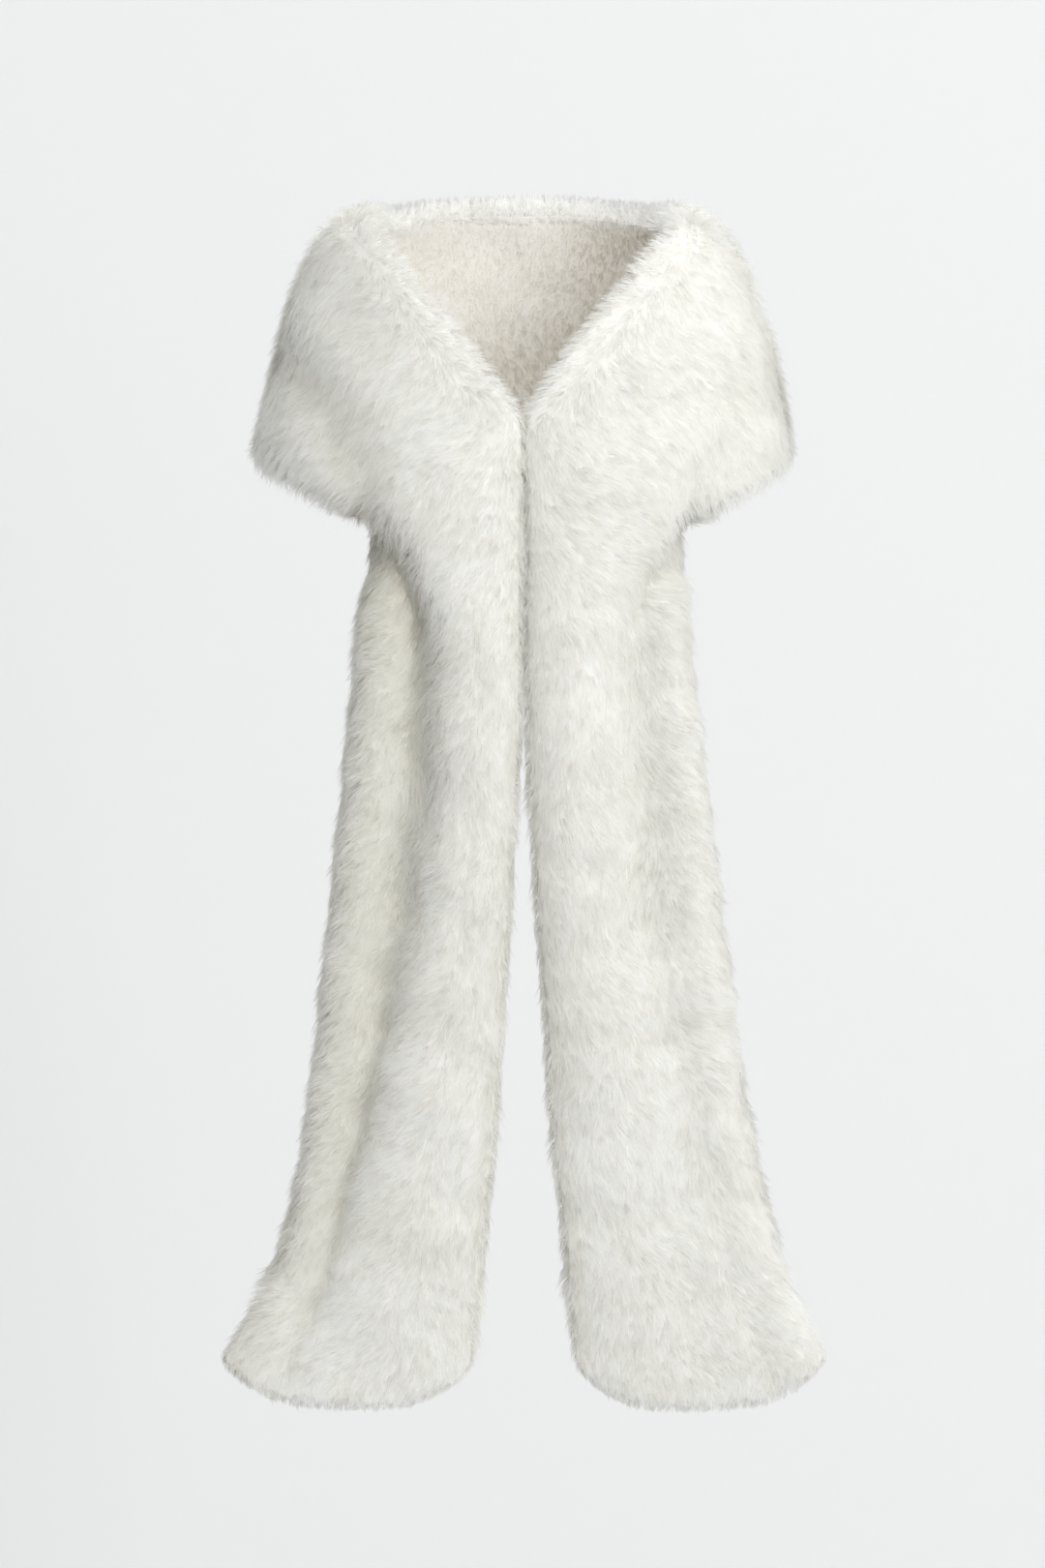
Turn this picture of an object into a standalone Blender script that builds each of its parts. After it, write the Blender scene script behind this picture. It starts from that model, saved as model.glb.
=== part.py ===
"""Faux fur shawl, worn open at the front and filled out with no wearer.

One long strip of pile cloth goes round the back and over both upper arms. Each end comes over a
shoulder, meets the other at the centre front and hangs to a flared hem with round corners. The strip is
modelled in three stretches, with the short plush lining that shows inside the neck as a fourth piece.
A wall of pile cloth is as thick as its backing and its pile together.

Metres, +Z up. The front faces -Y and +X is the wearer's left. The origin is midway between the
shoulders, at the height where the shawl rests on them.
"""
import math

import bpy
import numpy as np

NAME = "faux_fur_shawl"

# Cloth
PILE_WALL = 0.024          # backing and pile
FOLD_WALL = 0.016          # where a fold presses the pile
LINING_WALL = 0.003        # short plush
RIM_WALL = 0.004           # what is left of the wall at the tip of a rounded edge
SEAM_GAP = 0.0003
CENTRE_GAP = 0.0006        # between the two fronts where they touch

# Rings of the form that the shawl rests on, from the neck edge down to the cape's hem
RING_COLUMNS = ("level", "half_width", "front", "back")
RINGS = (
    (+0.024, 0.146, 0.070, 0.078),
    (+0.010, 0.186, 0.086, 0.096),
    (-0.030, 0.214, 0.100, 0.113),
    (-0.090, 0.236, 0.116, 0.127),
    (-0.160, 0.254, 0.130, 0.137),
    (-0.225, 0.266, 0.139, 0.143),
    (-0.310, 0.272, 0.146, 0.147),
)
SQUARENESS = 0.86          # 1 makes an elliptical ring, less a squarer one
SIDE_HEM = -0.235          # level of the cape's hem at the arms

# Back stretch: its edges at the centre back, and the soft waves that grow towards its hem
BACK_NECK_RISE = 0.019
BACK_HEM_DROP = 0.066
BACK_WAVES = 5
BACK_WAVE_DEPTH = 0.006

# Ribs of each front, fanned from the shoulder seam to the chest. A turn is an angle in degrees from
# the centre front, roll the length of the rib past the line of the big fold, curl how much of that
# bends back under the cape's hem
RIB_COLUMNS = ("neck_turn", "neck_level", "hem_turn", "hem_level", "roll", "curl")
RIGHT_RIBS = (
    (90.0, +0.024, 90.0, SIDE_HEM, 0.056, 0.000),
    (52.0, +0.006, 77.0, -0.250, 0.056, 0.002),
    (37.0, -0.020, 65.0, -0.263, 0.055, 0.007),
    (26.5, -0.060, 54.0, -0.277, 0.054, 0.015),
    (14.5, -0.105, 45.0, -0.289, 0.054, 0.027),
    (5.5, -0.155, 37.5, -0.299, 0.058, 0.044),
)
LEFT_RIBS = (
    (90.0, +0.024, 90.0, SIDE_HEM, 0.056, 0.000),
    (51.0, +0.004, 77.0, -0.251, 0.056, 0.002),
    (35.0, -0.022, 65.0, -0.266, 0.055, 0.007),
    (23.5, -0.060, 54.0, -0.281, 0.054, 0.015),
    (12.0, -0.105, 45.0, -0.293, 0.054, 0.027),
    (4.6, -0.155, 38.0, -0.302, 0.058, 0.044),
)

# Sections of each front, from the tuck under the cape's hem to the flared hem. inner, fold and outer
# are distances from the centre line. front is the depth of the lapel's crest; groove and crest, how
# far the bottom of the big fold and the outer roll lie behind it; wrap, the length of the outer edge
# that turns back; sag, how much lower the middle hangs; tuck, 1 where all past the fold goes straight
# back under the cape
SECTION_COLUMNS = (
    "inner_level", "outer_level", "inner", "fold", "outer", "front", "groove", "crest", "wrap", "sag", "tuck",
)
RIGHT_SECTIONS = (
    (-0.200, -0.296, 0.0003, 0.154, 0.168, 0.142, 0.044, 0.044, 0.042, 0.000, 1.0),
    (-0.290, -0.342, 0.0003, 0.124, 0.165, 0.150, 0.043, 0.036, 0.070, 0.000, 0.4),
    (-0.370, -0.388, 0.0003, 0.099, 0.168, 0.155, 0.043, 0.029, 0.080, 0.000, 0.0),
    (-0.440, -0.445, 0.0003, 0.088, 0.174, 0.157, 0.043, 0.023, 0.088, 0.000, 0.0),
    (-0.520, -0.520, 0.0020, 0.090, 0.182, 0.156, 0.041, 0.021, 0.092, 0.000, 0.0),
    (-0.620, -0.620, 0.0080, 0.097, 0.193, 0.154, 0.037, 0.019, 0.090, 0.000, 0.0),
    (-0.720, -0.720, 0.0130, 0.110, 0.203, 0.152, 0.032, 0.017, 0.084, 0.000, 0.0),
    (-0.820, -0.820, 0.0200, 0.128, 0.213, 0.150, 0.026, 0.014, 0.075, 0.000, 0.0),
    (-0.920, -0.920, 0.0260, 0.150, 0.227, 0.148, 0.020, 0.012, 0.064, 0.000, 0.0),
    (-1.010, -1.010, 0.0350, 0.172, 0.245, 0.146, 0.014, 0.009, 0.050, 0.004, 0.0),
    (-1.090, -1.090, 0.0450, 0.192, 0.273, 0.144, 0.010, 0.007, 0.036, 0.018, 0.0),
    (-1.165, -1.162, 0.0560, 0.222, 0.325, 0.142, 0.008, 0.006, 0.024, 0.051, 0.0),
)
LEFT_SECTIONS = (
    (-0.200, -0.298, 0.0003, 0.156, 0.170, 0.142, 0.042, 0.042, 0.042, 0.000, 1.0),
    (-0.290, -0.342, 0.0003, 0.127, 0.166, 0.150, 0.040, 0.034, 0.070, 0.000, 0.4),
    (-0.370, -0.388, 0.0003, 0.104, 0.170, 0.155, 0.037, 0.026, 0.080, 0.000, 0.0),
    (-0.440, -0.445, 0.0003, 0.094, 0.177, 0.157, 0.033, 0.019, 0.086, 0.000, 0.0),
    (-0.520, -0.520, 0.0020, 0.098, 0.185, 0.156, 0.030, 0.017, 0.090, 0.000, 0.0),
    (-0.620, -0.620, 0.0070, 0.110, 0.196, 0.154, 0.026, 0.015, 0.088, 0.000, 0.0),
    (-0.720, -0.720, 0.0130, 0.126, 0.206, 0.152, 0.022, 0.013, 0.082, 0.000, 0.0),
    (-0.820, -0.820, 0.0210, 0.143, 0.218, 0.150, 0.018, 0.011, 0.074, 0.000, 0.0),
    (-0.920, -0.920, 0.0270, 0.160, 0.233, 0.148, 0.014, 0.009, 0.064, 0.000, 0.0),
    (-1.010, -1.010, 0.0370, 0.180, 0.252, 0.146, 0.011, 0.008, 0.050, 0.004, 0.0),
    (-1.090, -1.090, 0.0460, 0.200, 0.277, 0.144, 0.009, 0.007, 0.036, 0.018, 0.0),
    (-1.165, -1.162, 0.0560, 0.226, 0.325, 0.142, 0.008, 0.006, 0.024, 0.053, 0.0),
)
TURN_RADIUS = 0.020        # of the turned outer edge, at the middle of the wall
FULL_TURN = 1.75           # radians; past it the edge goes on straight
HEM_SKEW = 0.75            # moves the lowest part of a hem towards the centre
INNER_CORNER = 2.6         # squareness of a hem's corner by the opening
OUTER_CORNER = 4.4         # and of the one at the side

# Where the roll comes out from under the cape's hem, the inside of the wall is pressed
PRESSED_ROW = 17
PRESSED_ROWS = 6.0         # either way
PRESSED_COLUMN = 8         # the first one
PRESSED_SHARE = 0.75       # of the inside half of the wall

# Grid
EDGE_STEPS = np.array([0.0, 0.0015, 0.0055, 0.012])   # from the tip of a rounded edge to the full wall
LAPEL_COLUMNS = 9
ROLL_COLUMNS = 11
RIB_STEPS = 3
TUCK_STEPS = 4
SECTION_STEPS = 2
BACK_COLUMNS = 34
BACK_ROWS = 12
LINING_START = 0.024       # from the tip of the neck edge
DENSE = 240


def smooth(x):
    """Ease from 0 to 1 with level ends."""
    x = np.clip(x, 0.0, 1.0)
    return x * x * (3.0 - 2.0 * x)


def spline(points, where, at):
    """Cubic curve through the points, which lie at where, read at the places at. The slope at a point
    is the weighted mean of the slopes on its two sides."""
    tail = [1] * (points.ndim - 1)
    span = np.diff(where)
    rise = np.diff(points, axis=0) / span.reshape(-1, *tail)
    share = (span[:-1] / (span[:-1] + span[1:])).reshape(-1, *tail)
    slope = np.concatenate([rise[:1], rise[:-1] * (1.0 - share) + rise[1:] * share, rise[-1:]])
    k = np.clip(np.searchsorted(where, at, side="right") - 1, 0, len(span) - 1)
    u = ((at - where[k]) / span[k]).reshape(-1, *tail)
    width = span[k].reshape(-1, *tail)
    start = (2 * u**3 - 3 * u**2 + 1) * points[k] + (u**3 - 2 * u**2 + u) * width * slope[k]
    return start + (3 * u**2 - 2 * u**3) * points[k + 1] + (u**3 - u**2) * width * slope[k + 1]


EVEN = np.linspace(0.0, 1.0, DENSE)
DENSE_RINGS = spline(np.array(RINGS), np.linspace(0.0, 1.0, len(RINGS)), EVEN)


def drop_of(level):
    """Share of the way down the rings at which a level lies."""
    return np.interp(-level, -DENSE_RINGS[:, 0], EVEN)


def form(turn, drop):
    """Point on the form: turn in radians from the centre front, drop the share down the rings."""
    level, half_width, front, back = (np.interp(drop, EVEN, DENSE_RINGS[:, k]) for k in range(4))
    sine, cosine = np.sin(turn), np.cos(turn)
    depth = np.where(cosine > 0.0, front, back)
    x = half_width * np.sign(sine) * np.abs(sine) ** SQUARENESS
    y = -depth * np.sign(cosine) * np.abs(cosine) ** SQUARENESS
    return np.stack([x, y, level], axis=-1)


def lengths_along(curve):
    """Length from the start of a line of points to each of them."""
    return np.concatenate([[0.0], np.cumsum(np.linalg.norm(np.diff(curve, axis=0), axis=1))])


def read_across(curve, fold_at):
    """Points across the cloth: close together at both rounded edges, even on each side of the fold."""
    length = lengths_along(curve)
    places = np.concatenate([
        EDGE_STEPS[:-1],
        np.linspace(EDGE_STEPS[-1], fold_at, LAPEL_COLUMNS, endpoint=False),
        np.linspace(fold_at, length[-1] - EDGE_STEPS[-1], ROLL_COLUMNS, endpoint=False),
        length[-1] - EDGE_STEPS[::-1],
    ])
    return np.stack([np.interp(places, length, curve[:, k]) for k in range(3)], axis=1)


def bend(length, count):
    """Points along a line that bends back and then runs straight: how far out and how far back."""
    along = np.linspace(0.0, length, count)
    angle = np.minimum(along / TURN_RADIUS, FULL_TURN)
    straight = along - angle * TURN_RADIUS
    out = TURN_RADIUS * np.sin(angle) + straight * np.cos(angle)
    back = TURN_RADIUS * (1.0 - np.cos(angle)) + straight * np.sin(angle)
    return out, back


def unit(vector):
    return vector / np.linalg.norm(vector)


def cape_rib(row):
    """A rib that lies on the form, from the neck edge to the cape's hem, and may curl under there."""
    rib = dict(zip(RIB_COLUMNS, row))
    quarter = math.sin(min(rib["curl"] / TURN_RADIUS, 0.5 * math.pi))
    lowest = rib["hem_level"] + (TURN_RADIUS + 0.5 * PILE_WALL) * quarter
    turn = np.radians(rib["neck_turn"] + (rib["hem_turn"] - rib["neck_turn"]) * EVEN)
    neck, hem = drop_of(rib["neck_level"]), drop_of(lowest)
    line = form(turn, neck + (hem - neck) * EVEN)
    down = unit(line[-1] - line[-4])
    beside = form(turn[-1:] + 0.01, np.array([hem]))[0] - line[-1]
    inward = unit(np.cross(down, beside))
    inward *= -np.sign(inward @ (line[-1] * (1.0, 1.0, 0.0)))
    out, back = bend(rib["curl"], DENSE // 4)
    curl = line[-1] + out[1:, None] * down + back[1:, None] * inward
    line = np.concatenate([line, curl]) if rib["curl"] else line
    return read_across(line, lengths_along(line)[-1] - rib["roll"])


def panel_section(row):
    """A section of the hanging part: lapel, groove of the big fold, outer roll and turned-back edge.
    Each knot is a distance from the centre line and one behind the lapel's crest."""
    s = dict(zip(SECTION_COLUMNS, row))
    lapel = s["fold"] - s["inner"]
    turn = min(s["wrap"] / TURN_RADIUS, 0.5 * math.pi)
    side = s["outer"] - 0.5 * PILE_WALL * math.sin(turn) ** 2
    out, back = bend(s["wrap"], 5)
    edge = np.stack([side - TURN_RADIUS * math.sin(turn) + out, s["crest"] + back], axis=1)
    roll = edge[0, 0] - s["fold"]
    start = np.array([
        (s["inner"] + 0.003, 0.014),
        (s["inner"] + 0.012, 0.008),
        (s["inner"] + 0.42 * lapel, 0.0),
        (s["inner"] + 0.80 * lapel, 0.003),
        (s["fold"] - 0.004 * s["tuck"], 0.016 + 0.006 * s["tuck"]),
    ])
    groove = np.array([
        (s["fold"] + 0.25 * roll, 0.6 * s["groove"] + 0.008),
        (s["fold"] + 0.50 * roll, s["groove"]),
    ])
    past = np.concatenate([groove, edge])
    step = np.arange(1, len(past) + 1)[:, None] / len(past)
    straight_back = start[-1] + step * (np.array([side, s["crest"] + s["wrap"]]) - start[-1])
    knots = np.concatenate([start, past + s["tuck"] * (straight_back - past)])
    line = spline(knots, np.linspace(0.0, 1.0, len(knots)), EVEN)
    share = np.clip((line[:, 0] - s["inner"]) / (side - s["inner"]), 0.0, 1.0)
    level = s["inner_level"] + (s["outer_level"] - s["inner_level"]) * share
    across = 2.0 * share**HEM_SKEW - 1.0
    corner = np.where(across < 0.0, INNER_CORNER, OUTER_CORNER)
    level -= s["sag"] * (1.0 - np.abs(across) ** corner)
    curve = np.stack([line[:, 0], line[:, 1] - s["front"], level], axis=1)
    fold_at = np.interp((len(start) - 1.0) / (len(knots) - 1.0), EVEN, lengths_along(curve))
    return read_across(curve, fold_at)


def front_grid(ribs, sections):
    """Middle of one front's wall on the +X side: rows from the shoulder seam to the hem."""
    lines = np.array([cape_rib(row) for row in ribs] + [panel_section(row) for row in sections])
    between = np.linalg.norm(np.diff(lines, axis=0), axis=2).mean(axis=1)
    where = np.concatenate([[0.0], np.cumsum(between)])
    steps = [RIB_STEPS] * (len(ribs) - 1) + [TUCK_STEPS] * 2 + [SECTION_STEPS] * (len(sections) - 2)
    rows = [np.linspace(a, b, n, endpoint=False) for a, b, n in zip(where[:-1], where[1:], steps)]
    rows.append(where[-1] - EDGE_STEPS[::-1])
    return spline(lines, where, np.concatenate(rows))


def back_grid():
    """Middle of the back stretch's wall: rows round the back, columns from neck edge to hem. It stands
    off the form by soft waves, and its edges rise or drop towards the centre back."""
    lines = []
    for turn in np.linspace(0.5 * math.pi, 1.5 * math.pi, BACK_COLUMNS):
        line = form(np.full(DENSE, turn), drop_of(SIDE_HEM) * EVEN)
        centre = math.cos(turn) ** 2
        line[:, 2] += centre * (BACK_NECK_RISE * (1.0 - EVEN) - BACK_HEM_DROP * EVEN)
        wave = BACK_WAVE_DEPTH * centre * math.cos(2.0 * BACK_WAVES * turn)
        line[:, 1] += wave * EVEN**2
        length = lengths_along(line)
        inner = np.linspace(LINING_START, length[-1] - EDGE_STEPS[-1], BACK_ROWS)
        places = np.concatenate([EDGE_STEPS, inner, length[-1] - EDGE_STEPS[-2::-1]])
        lines.append(np.stack([np.interp(places, length, line[:, k]) for k in range(3)], axis=1))
    return np.array(lines)


def grid_normals(grid, outward):
    """Unit normals of a grid, turned so that the middle one points along outward."""
    normal = np.cross(np.gradient(grid, axis=0), np.gradient(grid, axis=1))
    normal /= np.linalg.norm(normal, axis=2, keepdims=True)
    middle = normal[normal.shape[0] // 2, normal.shape[1] // 2]
    return normal * np.sign(middle @ np.array(outward))


def level_seam(normals, row):
    """Keep the normals along a seam in the seam's own plane, which is square to Y."""
    normals[row, :, 1] = 0.0
    normals[row] /= np.linalg.norm(normals[row], axis=1, keepdims=True)


def rounding(count, at_start, at_end):
    """Share of the wall that is left along a row, whose ends may be rounded off."""
    share = np.ones(count)
    quarter_round = np.sqrt(1.0 - (1.0 - EDGE_STEPS / EDGE_STEPS[-1]) ** 2)
    if at_start:
        share[: len(EDGE_STEPS)] = quarter_round
    if at_end:
        share[-len(EDGE_STEPS):] = quarter_round[::-1]
    return share


def wall(name, outer, inner):
    """Closed mesh between an outer and an inner grid of points of the same size."""
    rows, columns = outer.shape[:2]
    index = np.arange(rows * columns).reshape(rows, columns)
    a, b, c, d = (g.ravel() for g in (index[:-1, :-1], index[1:, :-1], index[1:, 1:], index[:-1, 1:]))
    face = np.concatenate([np.stack([a, b, c], axis=1), np.stack([a, c, d], axis=1)])
    rim = np.concatenate([index[:, 0], index[-1, 1:], index[-2::-1, -1], index[0, -2:0:-1]])
    after = np.roll(rim, -1)
    low = rows * columns
    side = np.concatenate([
        np.stack([after, rim, rim + low], axis=1),
        np.stack([after, rim + low, after + low], axis=1),
    ])
    points = np.concatenate([outer.reshape(-1, 3), inner.reshape(-1, 3)])
    triangles = np.concatenate([face, face[:, ::-1] + low, side])
    corners = points[triangles]
    volume = np.einsum("ij,ij->i", corners[:, 0], np.cross(corners[:, 1], corners[:, 2])).sum()
    if volume < 0.0:
        triangles = triangles[:, ::-1]
    mesh = bpy.data.meshes.new(name)
    mesh.from_pydata(points.tolist(), [], triangles.tolist())
    mesh.shade_smooth()
    return mesh


def front(name, ribs, sections, side):
    """One front: side is -1 on the wearer's right and +1 on the left. It is pressed flat where it
    meets the other at the centre, and its pile is pressed in the groove of the big fold."""
    grid = front_grid(ribs, sections)
    normals = grid_normals(grid, (0.0, -1.0, 0.0))
    level_seam(normals, 0)
    rows, columns = grid.shape[:2]
    groove = len(EDGE_STEPS) + LAPEL_COLUMNS + 2
    pressed = 1.0 - smooth(np.abs(np.arange(columns) - groove) / 6.0)
    thickness = PILE_WALL + (FOLD_WALL - PILE_WALL) * pressed
    share = rounding(rows, False, True)[:, None] * rounding(columns, True, True)
    half = 0.5 * (RIM_WALL + (thickness - RIM_WALL) * share)[..., None]
    by_row = smooth(1.0 - np.abs(np.arange(rows) - PRESSED_ROW) / PRESSED_ROWS)
    by_column = smooth((np.arange(columns) - PRESSED_COLUMN) / 4.0)
    inner_half = half * (1.0 - PRESSED_SHARE * by_row[:, None] * by_column)[..., None]
    grid[..., 1] -= 0.5 * SEAM_GAP
    faces = []
    for face in (grid + normals * half, grid - normals * inner_half):
        face[..., 0] = side * np.maximum(face[..., 0], 0.5 * CENTRE_GAP)
        faces.append(face)
    return wall(name, *faces)


def back_and_lining(back_name, lining_name):
    """The stretch round the back and over the arms, and the plush lining inside it."""
    grid = back_grid()
    normals = grid_normals(grid, (0.0, 1.0, 0.0))
    level_seam(normals, 0)
    level_seam(normals, -1)
    columns = grid.shape[1]
    half = 0.5 * (RIM_WALL + (PILE_WALL - RIM_WALL) * rounding(columns, True, True))[:, None]
    grid[..., 1] += 0.5 * SEAM_GAP
    back = wall(back_name, grid + normals * half, grid - normals * half)
    cut = slice(len(EDGE_STEPS), -len(EDGE_STEPS))
    start = 0.5 * PILE_WALL + SEAM_GAP
    lining = wall(
        lining_name,
        grid[:, cut] - normals[:, cut] * start,
        grid[:, cut] - normals[:, cut] * (start + LINING_WALL),
    )
    return back, lining


def cloth_material(name, colour, roughness):
    """Principled material of one kind of cloth."""
    made = bpy.data.materials.new(name)
    made.use_nodes = True
    shader = made.node_tree.nodes["Principled BSDF"]
    shader.inputs["Base Color"].default_value = (*colour, 1.0)
    shader.inputs["Roughness"].default_value = roughness
    shader.inputs["Metallic"].default_value = 0.0
    return made


def main():
    for thing in list(bpy.data.objects):
        bpy.data.objects.remove(thing, do_unlink=True)
    shawl = bpy.data.collections.new(NAME)
    bpy.context.scene.collection.children.link(shawl)
    pile = cloth_material("white_pile", (0.88, 0.87, 0.84), 0.9)
    plush = cloth_material("cream_plush", (0.80, 0.76, 0.69), 0.95)
    back, lining = back_and_lining("back_cape", "back_lining")
    pieces = (
        (back, pile),
        (lining, plush),
        (front("right_front", RIGHT_RIBS, RIGHT_SECTIONS, -1.0), pile),
        (front("left_front", LEFT_RIBS, LEFT_SECTIONS, 1.0), pile),
    )
    for mesh, cloth in pieces:
        mesh.materials.append(cloth)
        shawl.objects.link(bpy.data.objects.new(mesh.name, mesh))


main()
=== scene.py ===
"""Faux fur shawl: one long strip of white pile cloth, worn as a cape, its ends hanging in front.

Metres, +Z up, the front faces -Y. Each surface is a grid of points worked out from rings, ribs and sections
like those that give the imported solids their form. The cloth lies inside the solids, and its hair fills the
rest of them. Only the big fold of each hanging end lies up to 22 mm from its place in the solids, where the
photograph shows it.
"""

import math

import bpy
import numpy as np
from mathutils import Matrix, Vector


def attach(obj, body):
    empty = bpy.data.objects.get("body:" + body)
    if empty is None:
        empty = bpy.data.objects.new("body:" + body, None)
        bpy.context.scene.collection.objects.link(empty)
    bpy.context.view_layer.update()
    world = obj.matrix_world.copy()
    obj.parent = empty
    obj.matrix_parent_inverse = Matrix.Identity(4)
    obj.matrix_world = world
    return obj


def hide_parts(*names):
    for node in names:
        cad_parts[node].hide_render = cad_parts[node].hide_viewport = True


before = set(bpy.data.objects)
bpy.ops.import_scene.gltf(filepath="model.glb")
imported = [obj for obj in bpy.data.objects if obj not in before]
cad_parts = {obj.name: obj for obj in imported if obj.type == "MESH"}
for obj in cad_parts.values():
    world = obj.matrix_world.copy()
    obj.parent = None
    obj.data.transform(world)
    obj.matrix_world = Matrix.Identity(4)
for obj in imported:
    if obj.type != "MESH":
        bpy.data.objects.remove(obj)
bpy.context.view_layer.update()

# Rings of the form that the shawl rests on: level, half width, front and back half depth
RINGS = (
    (+0.024, 0.146, 0.070, 0.078),
    (+0.010, 0.186, 0.086, 0.096),
    (-0.030, 0.214, 0.100, 0.113),
    (-0.090, 0.236, 0.116, 0.127),
    (-0.160, 0.254, 0.130, 0.137),
    (-0.225, 0.266, 0.139, 0.143),
    (-0.310, 0.272, 0.146, 0.147),
)
SQUARENESS = 0.86          # power of the sines; 1 would be an ellipse
SIDE_HEM = -0.235          # level of the cape's hem over the arms
BACK_NECK_RISE = 0.019     # how much higher the neck edge is at the centre back
BACK_HEM_DROP = 0.066      # how much lower the hem is there
BACK_ROWS = 96
BACK_WAVES = 5             # over the back half, deepest at the hem
BACK_WAVE_DEPTH = 0.006

# Ribs of each front, fanned from the shoulder seam to the chest
RIB_COLUMNS = ("neck_turn", "neck_level", "hem_turn", "hem_level", "roll", "curl")
RIGHT_RIBS = (
    (90.0, +0.024, 90.0, SIDE_HEM, 0.056, 0.000),
    (52.0, +0.006, 77.0, -0.250, 0.056, 0.002),
    (37.0, -0.020, 65.0, -0.263, 0.055, 0.007),
    (26.5, -0.060, 54.0, -0.277, 0.054, 0.015),
    (14.5, -0.105, 45.0, -0.289, 0.054, 0.027),
    (5.5, -0.155, 37.5, -0.299, 0.058, 0.044),
)
LEFT_RIBS = (
    (90.0, +0.024, 90.0, SIDE_HEM, 0.056, 0.000),
    (51.0, +0.004, 77.0, -0.251, 0.056, 0.002),
    (35.0, -0.022, 65.0, -0.266, 0.055, 0.007),
    (23.5, -0.060, 54.0, -0.281, 0.054, 0.015),
    (12.0, -0.105, 45.0, -0.293, 0.054, 0.027),
    (4.6, -0.155, 38.0, -0.302, 0.058, 0.044),
)

# Sections of each front, from the tuck under the cape's hem to the flared hem
SECTION_COLUMNS = (
    "inner_level", "outer_level", "inner", "fold", "outer", "front", "drop", "groove", "crest", "wrap", "sag",
    "tuck",
)
RIGHT_SECTIONS = (
    (-0.200, -0.296, 0.0003, 0.154, 0.168, 0.142, 0.016, 0.044, 0.044, 0.042, 0.000, 1.0),
    (-0.290, -0.342, 0.0003, 0.118, 0.165, 0.150, 0.016, 0.043, 0.036, 0.070, 0.000, 0.4),
    (-0.370, -0.388, 0.0003, 0.092, 0.168, 0.155, 0.016, 0.043, 0.029, 0.080, 0.000, 0.0),
    (-0.440, -0.445, 0.0003, 0.083, 0.174, 0.157, 0.016, 0.043, 0.023, 0.088, 0.000, 0.0),
    (-0.520, -0.520, 0.0020, 0.083, 0.182, 0.156, 0.016, 0.041, 0.021, 0.092, 0.000, 0.0),
    (-0.620, -0.620, 0.0080, 0.089, 0.193, 0.154, 0.016, 0.037, 0.019, 0.090, 0.000, 0.0),
    (-0.720, -0.720, 0.0130, 0.101, 0.203, 0.152, 0.015, 0.034, 0.017, 0.084, 0.000, 0.0),
    (-0.820, -0.820, 0.0200, 0.120, 0.213, 0.150, 0.013, 0.031, 0.014, 0.075, 0.000, 0.0),
    (-0.920, -0.920, 0.0260, 0.143, 0.227, 0.148, 0.011, 0.028, 0.012, 0.064, 0.000, 0.0),
    (-1.010, -1.010, 0.0350, 0.168, 0.245, 0.146, 0.009, 0.023, 0.009, 0.050, 0.004, 0.0),
    (-1.090, -1.090, 0.0450, 0.195, 0.273, 0.144, 0.007, 0.015, 0.007, 0.036, 0.018, 0.0),
    (-1.165, -1.162, 0.0560, 0.240, 0.325, 0.142, 0.006, 0.008, 0.006, 0.024, 0.051, 0.0),
)
LEFT_SECTIONS = (
    (-0.200, -0.298, 0.0003, 0.156, 0.170, 0.142, 0.016, 0.042, 0.042, 0.042, 0.000, 1.0),
    (-0.290, -0.342, 0.0003, 0.127, 0.166, 0.150, 0.016, 0.040, 0.034, 0.070, 0.000, 0.4),
    (-0.370, -0.388, 0.0003, 0.098, 0.170, 0.155, 0.015, 0.036, 0.026, 0.080, 0.000, 0.0),
    (-0.440, -0.445, 0.0003, 0.085, 0.177, 0.157, 0.013, 0.030, 0.019, 0.086, 0.000, 0.0),
    (-0.520, -0.520, 0.0020, 0.085, 0.185, 0.156, 0.011, 0.026, 0.016, 0.090, 0.000, 0.0),
    (-0.620, -0.620, 0.0070, 0.093, 0.196, 0.154, 0.010, 0.021, 0.013, 0.088, 0.000, 0.0),
    (-0.720, -0.720, 0.0130, 0.105, 0.206, 0.152, 0.009, 0.017, 0.011, 0.082, 0.000, 0.0),
    (-0.820, -0.820, 0.0210, 0.123, 0.218, 0.150, 0.008, 0.013, 0.009, 0.074, 0.000, 0.0),
    (-0.920, -0.920, 0.0270, 0.145, 0.233, 0.148, 0.006, 0.010, 0.007, 0.064, 0.000, 0.0),
    (-1.010, -1.010, 0.0370, 0.171, 0.252, 0.146, 0.005, 0.007, 0.006, 0.050, 0.004, 0.0),
    (-1.090, -1.090, 0.0460, 0.200, 0.277, 0.144, 0.004, 0.006, 0.005, 0.036, 0.018, 0.0),
    (-1.165, -1.162, 0.0560, 0.243, 0.325, 0.142, 0.003, 0.005, 0.004, 0.024, 0.053, 0.0),
)
PILE_WALL = 0.024          # thickness of the solids' walls
TURN_RADIUS = 0.020        # of the turned outer edge, at the middle of the wall
FULL_TURN = 1.75           # radians; past it the edge goes on straight
HEM_SKEW = 0.75            # moves the lowest part of a hem towards the centre
INNER_CORNER = 2.6         # powers that round a hem's corners; higher is squarer
OUTER_CORNER = 4.4
DENSE = 240                # points of a line before it is read at even steps

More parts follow.
